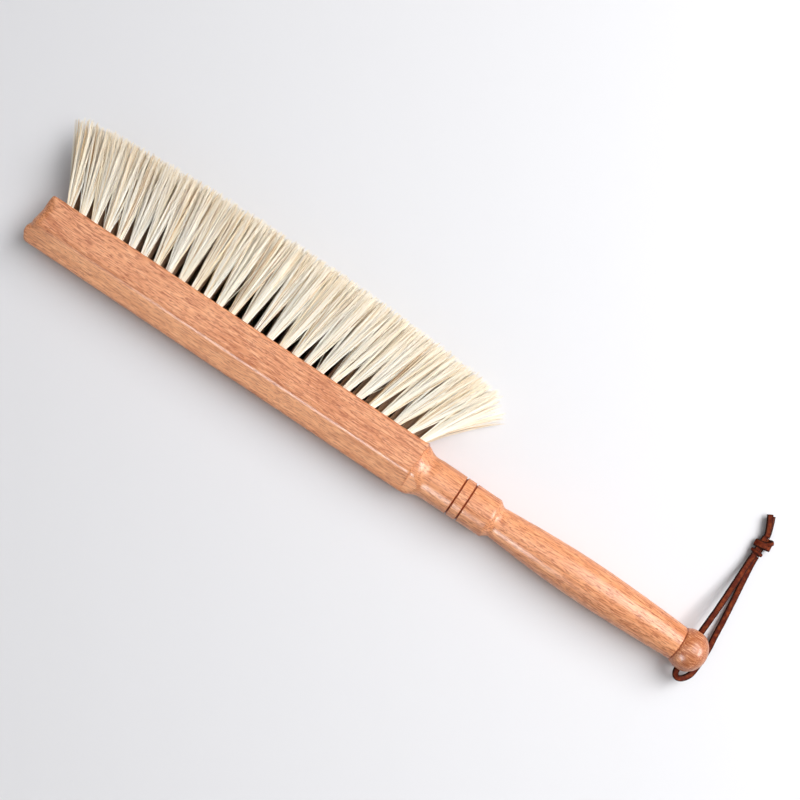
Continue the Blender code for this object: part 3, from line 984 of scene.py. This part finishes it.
@dataclass
class BeechWork:
    """The brush's one piece of wood, with a drilled hole for each tuft and the bore for the thong."""

    axes: WoodAxes
    head: HeadBlock
    handle: TurnedHandle
    tufts: TuftPlan
    look: bpy.types.Material
    name: str = "beech_back_and_handle.001"
    hole_sides: int = 20
    bore_diameter: float = 0.0042
    bore_sides: int = 32
    bore_reach: float = 1.3
    sharp_angle: float = math.radians(32)

    def build(self) -> bpy.types.Object:
        """Builds the wood and lets it stand for the CAD body.

        Returns:
            The piece.
        """
        work = bmesh.new()
        rings = self.head.free_end() + self.head.straight_run() + self.head.square_end()
        rings += self.handle.shoulder() + self.handle.neck() + self.handle.handle() + self.handle.ball()
        rows = [[work.verts.new(self.axes.at(*point)) for point in ring] for ring in rings]
        for low, high in zip(rows, rows[1:]):
            for k in range(len(low)):
                work.faces.new((low[k - 1], low[k], high[k], high[k - 1]))
        work.faces.new(rows[0])
        pole = work.verts.new(self.axes.at(self.handle.ball_end, 0, 0))
        for k in range(len(rows[-1])):
            work.faces.new((rows[-1][k - 1], rows[-1][k], pole))
        bmesh.ops.recalc_face_normals(work, faces=work.faces)
        blank = bpy.data.meshes.new("undrilled")
        work.to_mesh(blank)
        work.free()
        mesh = self._drilled(blank)
        mesh.polygons.foreach_set("use_smooth", [True] * len(mesh.polygons))
        mesh.set_sharp_from_angle(angle=self.sharp_angle)
        return mesh_piece(self.name, mesh, self.look, Body.BRUSH, "beech_body")

    @staticmethod
    def _pin(work: bmesh.types.BMesh, start: Vector, end: Vector, radius: float, sides: int) -> None:
        """Adds a closed round cutter.

        Args:
            work: The mesh of all cutters.
            start: The middle of one end.
            end: The middle of the other end.
            radius: Its radius.
            sides: How many flat sides it has.
        """
        way = end - start
        turn = way.to_track_quat("Z", "Y").to_matrix().to_4x4()
        bmesh.ops.create_cone(
            work,
            cap_ends=True,
            segments=sides,
            radius1=radius,
            radius2=radius,
            depth=way.length,
            matrix=Matrix.Translation((start + end) / 2) @ turn,
        )

    def _drilled(self, blank: bpy.types.Mesh) -> bpy.types.Mesh:
        """Drills the tuft holes and the bore.

        Args:
            blank: The wood without its holes.

        Returns:
            The drilled wood.
        """
        work = bmesh.new()
        for column in range(self.tufts.columns):
            for z, inner in self.tufts.rows:
                x = self.tufts.place(column, inner)
                way = self.tufts.direction(x, z) * self.tufts.hole_depth
                mouth = self.axes.at(x, self.head.depth / 2, z)
                self._pin(work, mouth - way, mouth + way, self.tufts.hole_diameter / 2, self.hole_sides)
        reach = self.bore_reach * self.handle.ball_radius
        low, high = (self.axes.at(self.handle.bore_place, y, 0) for y in (-reach, reach))
        self._pin(work, low, high, self.bore_diameter / 2, self.bore_sides)
        cutter_mesh = bpy.data.meshes.new("drill")
        work.to_mesh(cutter_mesh)
        work.free()
        cutter = bpy.data.objects.new("drill", cutter_mesh)
        body = bpy.data.objects.new("undrilled", blank)
        for made in (cutter, body):
            bpy.context.scene.collection.objects.link(made)
        cut = body.modifiers.new("drill", "BOOLEAN")
        cut.operation, cut.solver, cut.object = "DIFFERENCE", "EXACT", cutter
        drilled = bpy.data.meshes.new_from_object(body.evaluated_get(bpy.context.evaluated_depsgraph_get()))
        drilled.name = self.name
        for used in (cutter_mesh, blank):
            bpy.data.meshes.remove(used)
        return drilled


@dataclass
class Lock:
    """One pointed lock of a tuft: where and how it runs, its tone, and the way out of its tuft."""

    base: Vector
    way: Vector
    length: float
    sweep: float
    tone: float
    inner: bool
    outward: Vector


@dataclass
class Hair:
    """One hair: the places that it runs through, its thickness, its shade and the way out of its tuft."""

    points: list[Vector]
    radius: float
    shade: int
    outward: Vector


@dataclass
class BristleField:
    """All the tufts, one piece for each column of them across the head.

    A tuft is made of pointed locks, and a lock of a few hairs. What is named for the handle end shapes the
    last tufts, which fan out toward the handle, and what is named for strays a few loose hairs. Facing,
    outward and normal turn a hair's normals out of its tuft, so that a tuft is lit as one soft body. The
    map's columns are the shades of hair.
    """

    axes: WoodAxes
    head: HeadBlock
    plan: TuftPlan
    look: bpy.types.Material
    length: float = 0.0545
    shorter_at_ends: float = 0.0030
    locks: int = 16
    lock_turn: float = 2.4
    tuft_turn: float = 900
    hairs_in_lock: Sequence[int] = (7, 5, 6, 12)
    splay_along: float = math.radians(5.5)
    end_splay: float = math.radians(2)
    splay_across: float = math.radians(2.8)
    lean_scatter: float = 0.24
    bend: float = math.radians(3)
    handle_end_from: float = 0.9
    handle_end_gain: float = 10
    handle_end_flare: float = math.radians(20)
    handle_end_flare_from: float = 0.2
    handle_end_cut: float = 0.0060
    handle_end_cut_from: float = -0.1
    lock_root: float = 0.00045
    lock_tip: float = 0.00032
    ragged: float = 0.0014
    hair_ragged: float = 0.0011
    hair_bow: tuple[float, float] = (0.0004, 0.0003)
    stray_chance: float = 0.05
    stray_reach: float = 5.0
    stray_shorter: float = 2.0
    root_depth: float = 0.5
    gather: float = 0.6
    hair_radius: float = 0.00014
    radius_spread: tuple[float, float] = (0.8, 1.25)
    shades: int = 24
    lock_tone: float = 0.4
    top_tone: float = 0.999
    inner_facing: float = 0.6
    end_facing: float = 0.8
    outward_at_end: float = 0.35
    outward_along: float = 0.2
    outward_up: float = 0.1
    normal_turn: float = 0.9
    normal_tip: float = 0.8
    crossways: Point = (0.3, 0.1, 1)
    map_margin: float = 0.1
    map_cap: float = 0.02
    clear_of_floor: float = 0.0002
    seed: int = 29
    segment_shares: Sequence[float] = (0.0, 0.30, 0.58, 0.82, 1.0)
    thickness_shares: Sequence[float] = (1.0, 1.0, 0.95, 0.75, 0.25)

    def build(self) -> list[bpy.types.Object]:
        """Builds every column and lets it stand for its CAD node."""
        return [self._column(column) for column in range(self.plan.columns)]

    def _column(self, column: int) -> bpy.types.Object:
        """Builds the tufts of one column.

        Args:
            column: Its number from the free end.

        Returns:
            The piece.
        """
        chance = random.Random(self.seed * 1000 + column)
        hairs: list[Hair] = []
        for (z, inner), count in zip(self.plan.rows, self.hairs_in_lock):
            for number in range(self.locks):
                lock = self._lock(self.plan.place(column, inner), z, inner, number, chance)
                hairs += [self._hair(lock, chance) for _ in range(count)]
        name = f"bristle_column_{column + 1:02d}"
        node = f"tuft_column_{column + 1:02d}"
        return mesh_piece(name, self._hair_mesh(name, hairs), self.look, Body.BRUSH, node)

    def _lock(self, x: float, z: float, inner: bool, number: int, chance: random.Random) -> Lock:
        """Lays out one pointed lock.

        Args:
            x: Its tuft's place along the head.
            z: Its row's height.
            inner: Whether that is an inner row.
            number: The lock's number in the tuft.
            chance: The source of its irregularity.

        Returns:
            The lock.
        """
        reach = math.sqrt((number + 0.5) / self.locks)
        turn = number * self.lock_turn + x * self.tuft_turn
        along, across = reach * math.cos(turn), reach * math.sin(turn)
        room = self.plan.hole_diameter / 2 - self.lock_root
        base = Vector((x + along * room, self.head.depth / 2, z + across * room))
        share = self.plan.share(x)
        splay = self.splay_along + self.end_splay * share**2
        lean = self.plan.lean(x) + splay * (along + chance.gauss(0, self.lean_scatter))
        tilt = self.plan.tilt(z) + self.splay_across * across
        end = max(0.0, share - self.handle_end_from) * self.handle_end_gain
        length = self.length - self.shorter_at_ends * share**2 - abs(chance.gauss(0, self.ragged))
        length -= self.handle_end_cut * end * max(0.0, along - self.handle_end_cut_from)
        sweep = self.bend * share**3
        sweep += self.handle_end_flare * end * max(0.0, along - self.handle_end_flare_from)
        way = Vector((math.sin(lean), 0, math.sin(tilt)))
        way.y = math.sqrt(1 - way.x**2 - way.z**2)
        facing = math.copysign(self.inner_facing if inner else 1.0, z)
        facing += (1 - facing) * self.end_facing * end
        outward_x = self.outward_at_end * max(0.0, share) ** 5 + self.outward_along * along
        outward = Vector((outward_x, self.outward_up, facing))
        return Lock(base, way, length, sweep, chance.random(), inner, outward)

    def _hair(self, lock: Lock, chance: random.Random) -> Hair:
        """Lays out one hair of a lock.

        Args:
            lock: The lock.
            chance: The source of its irregularity.

        Returns:
            The hair.
        """
        stray = chance.random() < self.stray_chance
        loose = self.stray_reach if stray else 1.0
        spot = Vector((chance.uniform(-1, 1), 0, chance.uniform(-1, 1))) * self.lock_root
        drift = Vector((chance.gauss(0, 1), 0, chance.gauss(0, 1))) * self.lock_tip * loose
        shorter = abs(chance.gauss(0, self.hair_ragged)) * (self.stray_shorter if stray else 1.0)
        bow = Vector((chance.gauss(0, self.hair_bow[0]), 0, chance.gauss(0, self.hair_bow[1]))) * loose
        length = lock.length - shorter
        root = lock.base + spot
        points = [self.axes.at(*(root - lock.way * self.plan.hole_depth * self.root_depth))]
        for part in self.segment_shares[1:]:
            swept = length * part**2 * math.sin(lock.sweep) / 2
            off = lock.way * length * part + Vector((swept, -abs(swept) / 2, 0))
            off += drift * part - spot * part * self.gather + bow * math.sin(math.pi * part)
            point = self.axes.at(*(root + off))
            point.z = max(point.z, self.clear_of_floor)
            points.append(point)
        tone = (self.lock_tone * lock.tone + (1 - self.lock_tone) * chance.random()) * self.top_tone
        shade = int(tone * self.shades) + lock.inner * self.shades
        return Hair(points, self.hair_radius * chance.uniform(*self.radius_spread), shade, lock.outward)

    def _hair_mesh(self, name: str, hairs: Sequence[Hair]) -> bpy.types.Mesh:
        """Turns hairs into one mesh of thin three-sided tubes.

        Args:
            name: The mesh's name.
            hairs: The hairs.

        Returns:
            The mesh, with a map whose columns are the shades and whose height runs along a hair.
        """
        places: list[Vector] = []
        normals: list[Vector] = []
        faces: list[tuple[int, ...]] = []
        spots: list[tuple[float, float]] = []
        levels = self.segment_shares
        corners = (self.map_margin, 0.5, 1 - self.map_margin)
        for hair in hairs:
            start = len(places)
            way = (hair.points[-1] - hair.points[0]).normalized()
            side = way.cross(Vector(self.crossways)).normalized()
            up = way.cross(side)
            for point, share, level in zip(hair.points, self.thickness_shares, levels):
                for k in range(3):
                    turn = math.tau * k / 3 + hair.shade
                    out = side * math.cos(turn) + up * math.sin(turn)
                    places.append(point + out * hair.radius * share)
                    normal = out * self.normal_turn + hair.outward + way * self.normal_tip * level**4
                    normals.append(normal.normalized())
            inner = hair.shade >= self.shades
            wide = (1 - INNER_SHADES_FROM if inner else INNER_SHADES_FROM) / self.shades
            left = (INNER_SHADES_FROM if inner else 0) + hair.shade % self.shades * wide
            for band in range(len(hair.points) - 1):
                low, high = start + 3 * band, start + 3 * band + 3
                for k in range(3):
                    after = (k + 1) % 3
                    faces.append((low + k, low + after, high + after, high + k))
                    first, second = (
                        left + wide * (edge + self.map_margin) / (3 + 2 * self.map_margin)
                        for edge in (k, k + 1)
                    )
                    spots += [(first, levels[band]), (second, levels[band])]
                    spots += [(second, levels[band + 1]), (first, levels[band + 1])]
            last = start + 3 * (len(hair.points) - 1)
            faces += [(start + 2, start + 1, start), (last, last + 1, last + 2)]
            for end, middle in ((0.0, self.map_cap), (1.0, 1 - self.map_cap)):
                spots += [(left + wide * across, along) for across, along in zip(corners, (end, middle, end))]
        mesh = bpy.data.meshes.new(name)
        mesh.from_pydata(places, [], faces)
        layer = mesh.uv_layers.new(name=BAKE_MAP)
        layer.uv.foreach_set("vector", [number for spot in spots for number in spot])
        mesh.polygons.foreach_set("use_smooth", [True] * len(faces))
        mesh.normals_split_custom_set_from_vertices(normals)
        return mesh


@dataclass
class Lace:
    """A flat-sided leather lace: its section, and the tubes that it makes along a line."""

    width: float = 0.0034
    thickness: float = 0.0024
    corner: float = 0.0006
    corner_share: float = 0.45
    sharp_angle: float = math.radians(50)

    def section(self, width: float, thickness: float) -> list[tuple[float, float, float]]:
        """The rounded section.

        Args:
            width: Its width.
            thickness: Its thickness.

        Returns:
            Points as (across, up, how near they are to the cut edge).
        """
        corner = min(self.corner, self.corner_share * thickness, self.corner_share * width)
        points = []
        for quarter, (side, level) in enumerate(((1, 1), (-1, 1), (-1, -1), (1, -1))):
            for turn in steps(0, math.pi / 2, 3):
                angle = turn + quarter * math.pi / 2
                across = side * (width / 2 - corner) + corner * math.cos(angle)
                up = level * (thickness / 2 - corner) + corner * math.sin(angle)
                points.append((across, up, min(1.0, abs(across) / (width / 2))))
            if quarter % 2 == 0:
                for share in (0.5, 0.0, -0.5):
                    across = side * share * (width - 2 * corner)
                    points.append((across, level * thickness / 2, abs(across) / (width / 2)))
        return points

    def sweep(
        self,
        work: bmesh.types.BMesh,
        path: Sequence[Vector],
        facing: Sequence[Vector],
        width: float | None = None,
        thickness: float | None = None,
        closed: bool = False,
    ) -> None:
        """Adds the lace along a path.

        Args:
            work: The mesh that it is added to.
            path: The places that its middle runs through.
            facing: The way that its flat side faces at each place.
            width: Its width, if it isn't the usual one.
            thickness: Its thickness, likewise.
            closed: Whether the path joins its own start.
        """
        # Each point keeps how near it lies to the lace's edge, which the leather's painted edge shade reads.
        shade = work.verts.layers.float.get(EDGE_SHADE) or work.verts.layers.float.new(EDGE_SHADE)
        outline = self.section(width or self.width, thickness or self.thickness)
        rows = []
        count = len(path)
        for k, point in enumerate(path):
            before = path[(k - 1) % count] if closed else path[max(k - 1, 0)]
            after = path[(k + 1) % count] if closed else path[min(k + 1, count - 1)]
            way = (after - before).normalized()
            up = (facing[k] - way * facing[k].dot(way)).normalized()
            across = way.cross(up)
            row = []
            for out, rise, edge in outline:
                vert = work.verts.new(point + across * out + up * rise)
                vert[shade] = edge
                row.append(vert)
            rows.append(row)
        pairs = list(zip(rows, rows[1:])) + ([(rows[-1], rows[0])] if closed else [])
        for low, high in pairs:
            for k in range(len(low)):
                work.faces.new((low[k - 1], low[k], high[k], high[k - 1]))
        if not closed:
            work.faces.new(rows[0])
            work.faces.new(rows[-1])

    def mesh(self, name: str, work: bmesh.types.BMesh) -> bpy.types.Mesh:
        """Closes the work.

        Args:
            name: The mesh's name.
            work: The lengths of lace, which are freed.

        Returns:
            Their mesh.
        """
        bmesh.ops.recalc_face_normals(work, faces=work.faces)
        mesh = bpy.data.meshes.new(name)
        work.to_mesh(mesh)
        work.free()
        mesh.polygons.foreach_set("use_smooth", [True] * len(mesh.polygons))
        mesh.set_sharp_from_angle(angle=self.sharp_angle)
        return mesh


def smooth_route(points: Sequence[Point], step: float) -> list[Vector]:
    """Reads a smooth curve through a route's chosen points.

    Args:
        points: The chosen points.
        step: About how far apart the places on the curve are.

    Returns:
        The places.
    """
    ends = [Vector(point) for point in points]
    ends = [2 * ends[0] - ends[1]] + ends + [2 * ends[-1] - ends[-2]]
    route = []
    for before, start, end, after in zip(ends, ends[1:], ends[2:], ends[3:]):
        count = max(1, round((end - start).length / step))
        for k in range(count):
            t = k / count
            curve = 2 * start + (end - before) * t
            curve += (2 * before - 5 * start + 4 * end - after) * t**2
            curve += (3 * start - before - 3 * end + after) * t**3
            route.append(0.5 * curve)
    return route + [ends[-2]]


def length_of(path: Sequence[Vector]) -> float:
    """How long a path is."""
    return sum((end - start).length for start, end in zip(path, path[1:]))


@dataclass(frozen=True)
class Wrap:
    """A turn of lace round the strands in the knot.

    Its reach is how far its middle line reaches sideways and up, and its tilt is in degrees about the
    frame's z and x axes.
    """

    offset: Point
    reach: tuple[float, float]
    tilt: tuple[float, float]
    width: float
    thickness: float


@dataclass
class LeatherThong:
    """The thong: a lace through the bore, whose two strands meet in an overhand knot with two cut ends."""

    axes: WoodAxes
    handle: TurnedHandle
    look: bpy.types.Material
    lace: Lace = field(default_factory=Lace)
    step: float = 0.0009
    cord_diameter: float = 0.0032
    in_bore_length: float = 0.0160
    knot_centre: Point = (0.4476, 0.0711, -0.0113)
    knot_half: float = 0.0058
    knot_strands: Sequence[tuple[float, float]] = ((-0.0012, 0.0012), (0.0006, -0.0016))
    wraps: Sequence[Wrap] = (
        Wrap((0.0002, 0.0010, 0.0000), (0.0040, 0.0027), (8, 0), 0.0044, 0.0018),
        Wrap((-0.0004, -0.0042, 0.0000), (0.0029, 0.0024), (-4, 0), 0.0020, 0.0016),
        Wrap((0.0022, 0.0036, 0.0006), (0.0022, 0.0024), (38, 10), 0.0026, 0.0016),
    )
    wrap_places: int = 40
    front_route: Sequence[Point] = (
        (0.4436, 0.0083, 0.0000),
        (0.4436, 0.0122, 0.0000),
        (0.4438, 0.0173, -0.0003),
        (0.4446, 0.0280, -0.0022),
        (0.4454, 0.0407, -0.0055),
        (0.4460, 0.0534, -0.0086),
        (0.4463, 0.0612, -0.0098),
        (0.4464, 0.0650, -0.0100),
    )
    back_route: Sequence[Point] = (
        (0.4436, -0.0083, 0.0000),
        (0.4436, -0.0118, 0.0000),
        (0.4443, -0.0146, -0.0008),
        (0.4466, -0.0163, -0.0026),
        (0.4500, -0.0151, -0.0050),
        (0.4530, -0.0110, -0.0072),
        (0.4542, -0.0040, -0.0092),
        (0.4544, 0.0055, -0.0106),
        (0.4536, 0.0143, -0.0112),
        (0.4527, 0.0251, -0.0118),
        (0.4515, 0.0363, -0.0123),
        (0.4502, 0.0475, -0.0128),
        (0.4490, 0.0582, -0.0131),
        (0.4485, 0.0650, -0.0131),
    )
    upper_tail_route: Sequence[Point] = (
        (0.4467, 0.0772, -0.0101),
        (0.4467, 0.0782, -0.0101),
        (0.4457, 0.0811, -0.0103),
        (0.4438, 0.0852, -0.0104),
        (0.4418, 0.0889, -0.0104),
    )
    lower_tail_route: Sequence[Point] = (
        (0.4477, 0.0772, -0.0132),
        (0.4477, 0.0782, -0.0132),
        (0.4469, 0.0811, -0.0133),
        (0.4455, 0.0852, -0.0134),
        (0.4440, 0.0889, -0.0134),
    )

    def build(self) -> list[bpy.types.Object]:
        """Builds the thong's pieces.

        Returns:
            The pieces.
        """
        half = self.in_bore_length / 2
        bore = [(self.handle.bore_place, y, 0) for y in steps(-half, half, 4)]
        in_bore, _ = self._run("lace_in_bore", bore, "thong_in_bore")
        front, front_path = self._run("front_lace", self.front_route, "thong_front_strand")
        back, back_path = self._run("back_lace", self.back_route, "thong_back_strand")
        upper, _ = self._run("upper_lace_end", self.upper_tail_route, "thong_upper_tail")
        lower, _ = self._run("lower_lace_end", self.lower_tail_route, "thong_lower_tail")
        knot = self._knot()
        for piece, path, ends in ((front, front_path, [knot, upper]), (back, back_path, [lower])):
            length_of(path)
        return [in_bore, front, back, knot, upper, lower]

    def _run(self, name: str, route: Sequence[Point], node: str) -> tuple[bpy.types.Object, list[Vector]]:
        """Builds one length of lace.

        Args:
            name: The piece's name.
            route: Its chosen points on the wood's axes.
            node: The CAD node that it stands for.

        Returns:
            The piece and its path in the frame.
        """
        path = [self.axes.at(*point) for point in smooth_route(route, self.step)]
        work = bmesh.new()
        self.lace.sweep(work, path, [UP] * len(path))
        piece = mesh_piece(name, self.lace.mesh(name, work), self.look, Body.THONG, node)
        return piece, path

    def _knot(self) -> bpy.types.Object:
        """Builds the overhand knot: the strands run through two wraps and a turn that locks them.

        Returns:
            The piece.
        """
        work = bmesh.new()
        centre = self.axes.at(*self.knot_centre)
        for wrap in self.wraps:
            self._wind(work, centre, wrap)
        for x, z in self.knot_strands:
            path = [centre + Vector((x, y, z)) for y in steps(-self.knot_half, self.knot_half, 8)]
            self.lace.sweep(work, path, [UP] * len(path))
        mesh = self.lace.mesh("lace_knot", work)
        return mesh_piece("lace_knot", mesh, self.look, Body.THONG, "thong_knot")

    def _wind(self, work: bmesh.types.BMesh, centre: Vector, wrap: Wrap) -> None:
        """Adds a turn of lace round the strands.

        Args:
            work: The knot's mesh.
            centre: The middle of the knot.
            wrap: The turn.
        """
        about_z, about_x = (math.radians(angle) for angle in wrap.tilt)
        turned = Matrix.Rotation(about_z, 3, "Z") @ Matrix.Rotation(about_x, 3, "X")
        middle = centre + Vector(wrap.offset)
        path, facing = [], []
        for angle in steps(0, math.tau, self.wrap_places)[:-1]:
            across, up = math.cos(angle), math.sin(angle)
            path.append(middle + turned @ Vector((wrap.reach[0] * across, 0, wrap.reach[1] * up)))
            facing.append(turned @ Vector((across / wrap.reach[0], 0, up / wrap.reach[1])))
        self.lace.sweep(work, path, facing, wrap.width, wrap.thickness, closed=True)


@dataclass(frozen=True)
class SoftLamp:
    """A soft rectangular lamp. One that is only mirrored stands for a window and lights nothing else."""

    name: str
    place: Point
    aim: Point
    size: tuple[float, float]
    power: float
    tone: Colour = WHITE
    only_mirrored: bool = True

    def build(self) -> None:
        """Hangs the lamp."""
        light = bpy.data.lights.new(self.name, "AREA")
        light.shape = "RECTANGLE"
        light.size, light.size_y = self.size
        light.energy = self.power
        light.color = self.tone[:3]
        lamp = bpy.data.objects.new(self.name, light)
        bpy.context.scene.collection.objects.link(lamp)
        lamp.location = self.place
        lamp.rotation_euler = (Vector(self.place) - Vector(self.aim)).to_track_quat("Z", "Y").to_euler()
        lamp.visible_camera = False
        lamp.visible_diffuse = not self.only_mirrored


@dataclass
class Studio:
    """The camera, the lamps, the pale floor and the pale world."""

    axes: WoodAxes
    photo_size: int = 800
    focal_pixels: float = 1298
    sensor: float = 36
    eye: Point = (0.2839, 0.0274, 0.7350)
    target: Point = (0.2321, 0.0274, 0.0)
    roll: float = math.radians(33.58)
    floor_size: float = 8.0
    world_strength: float = 0.32
    lamps: Sequence[SoftLamp] = (
        SoftLamp("overhead_softbox", (0.72, 0.72, 1.25), (0.72, 0, 0), (0.9, 1.5), 32.5, only_mirrored=False),
        SoftLamp("window", (-0.25, -1.45, 1.05), (-0.25, 0, 0), (0.75, 0.68), 34.0),
        SoftLamp("low_window", (-0.40, -1.75, 0.38), (-0.40, 0, 0), (1.0, 0.62), 20.0, srgb(255, 210, 165)),
        SoftLamp("ceiling", (-0.45, -0.05, 1.50), (-0.45, -0.05, 0), (1.3, 0.9), 10.0),
        SoftLamp("side_window", (1.75, 0.60, 0.95), (0.22, 0, 0), (1.1, 0.9), 62.0),
        SoftLamp("overhead_glint", (0.72, 0.72, 1.25), (0.72, 0, 0), (0.9, 1.5), 27.0),
    )

    def build(self) -> None:
        """Builds all of it."""
        self._camera()
        self._floor()
        self._world()
        for lamp in self.lamps:
            lamp.build()

    def _camera(self) -> None:
        """Sets up the camera at the photograph's viewing angle."""
        camera = bpy.data.objects.new("photo_camera", bpy.data.cameras.new("photo_camera"))
        bpy.context.scene.collection.objects.link(camera)
        camera.data.sensor_width = self.sensor
        camera.data.lens = self.sensor * self.focal_pixels / self.photo_size
        camera.data.clip_start = 0.01
        eye, target = self.axes.at(*self.eye), self.axes.at(*self.target)
        back = (eye - target).normalized()
        up = Vector((-math.sin(self.roll), math.cos(self.roll), 0))
        right = up.cross(back).normalized()
        up = back.cross(right)
        turn = Matrix((right, up, back)).transposed().to_4x4()
        camera.matrix_world = Matrix.Translation(eye) @ turn
        bpy.context.scene.camera = camera

    def _floor(self) -> None:
        """Lays the floor."""
        mesh = bpy.data.meshes.new("floor")
        half = self.floor_size / 2
        corners = [(-half, -half, 0), (half, -half, 0), (half, half, 0), (-half, half, 0)]
        mesh.from_pydata(corners, [], [(0, 1, 2, 3)])
        mesh.materials.append(FloorFinish().material())
        floor = bpy.data.objects.new("floor", mesh)
        bpy.context.scene.collection.objects.link(floor)

    def _world(self) -> None:
        """Lights the scene evenly from all round, and shows white where the floor ends."""
        world = bpy.data.worlds.new("pale_room")
        bpy.context.scene.world = world
        tree = ShaderTree(world)
        path = tree.add("ShaderNodeLightPath")
        seen = Wire(tree, path.outputs["Is Camera Ray"])
        strength = seen * (1 - self.world_strength) + self.world_strength
        background = tree.add("ShaderNodeBackground", None, {"Color": WHITE, "Strength": strength})
        tree.add("ShaderNodeOutputWorld", None, {"Surface": Wire(tree, background.outputs[0])})


def main() -> None:
    """Builds the studio, the thong, the wood and the bristles, and reports their pieces' faces."""
    logging.basicConfig(level=logging.INFO, format="%(name)s: %(message)s")
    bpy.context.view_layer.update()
    bpy.context.scene.view_settings.view_transform = "Standard"
    head = HeadBlock()
    handle = TurnedHandle(head)
    axes = WoodAxes(handle.ball_end)
    plan = TuftPlan(head)
    Studio(axes).build()
    pieces = LeatherThong(axes, handle, LeatherFinish().material()).build()
    grooves = tuple(axes.at(place, 0, 0).x for place in handle.groove_places)
    beech = BeechFinish(grooves, axes.at(handle.end, 0, 0).x)
    pieces.append(BeechWork(axes, head, handle, plan, beech.material()).build())
    pieces += BristleField(axes, head, plan, BristleFinish().material()).build()
    for piece in pieces:
        LOG.info("%s: %d faces", piece.name, len(piece.data.polygons))


if __name__ == "__main__":
    main()
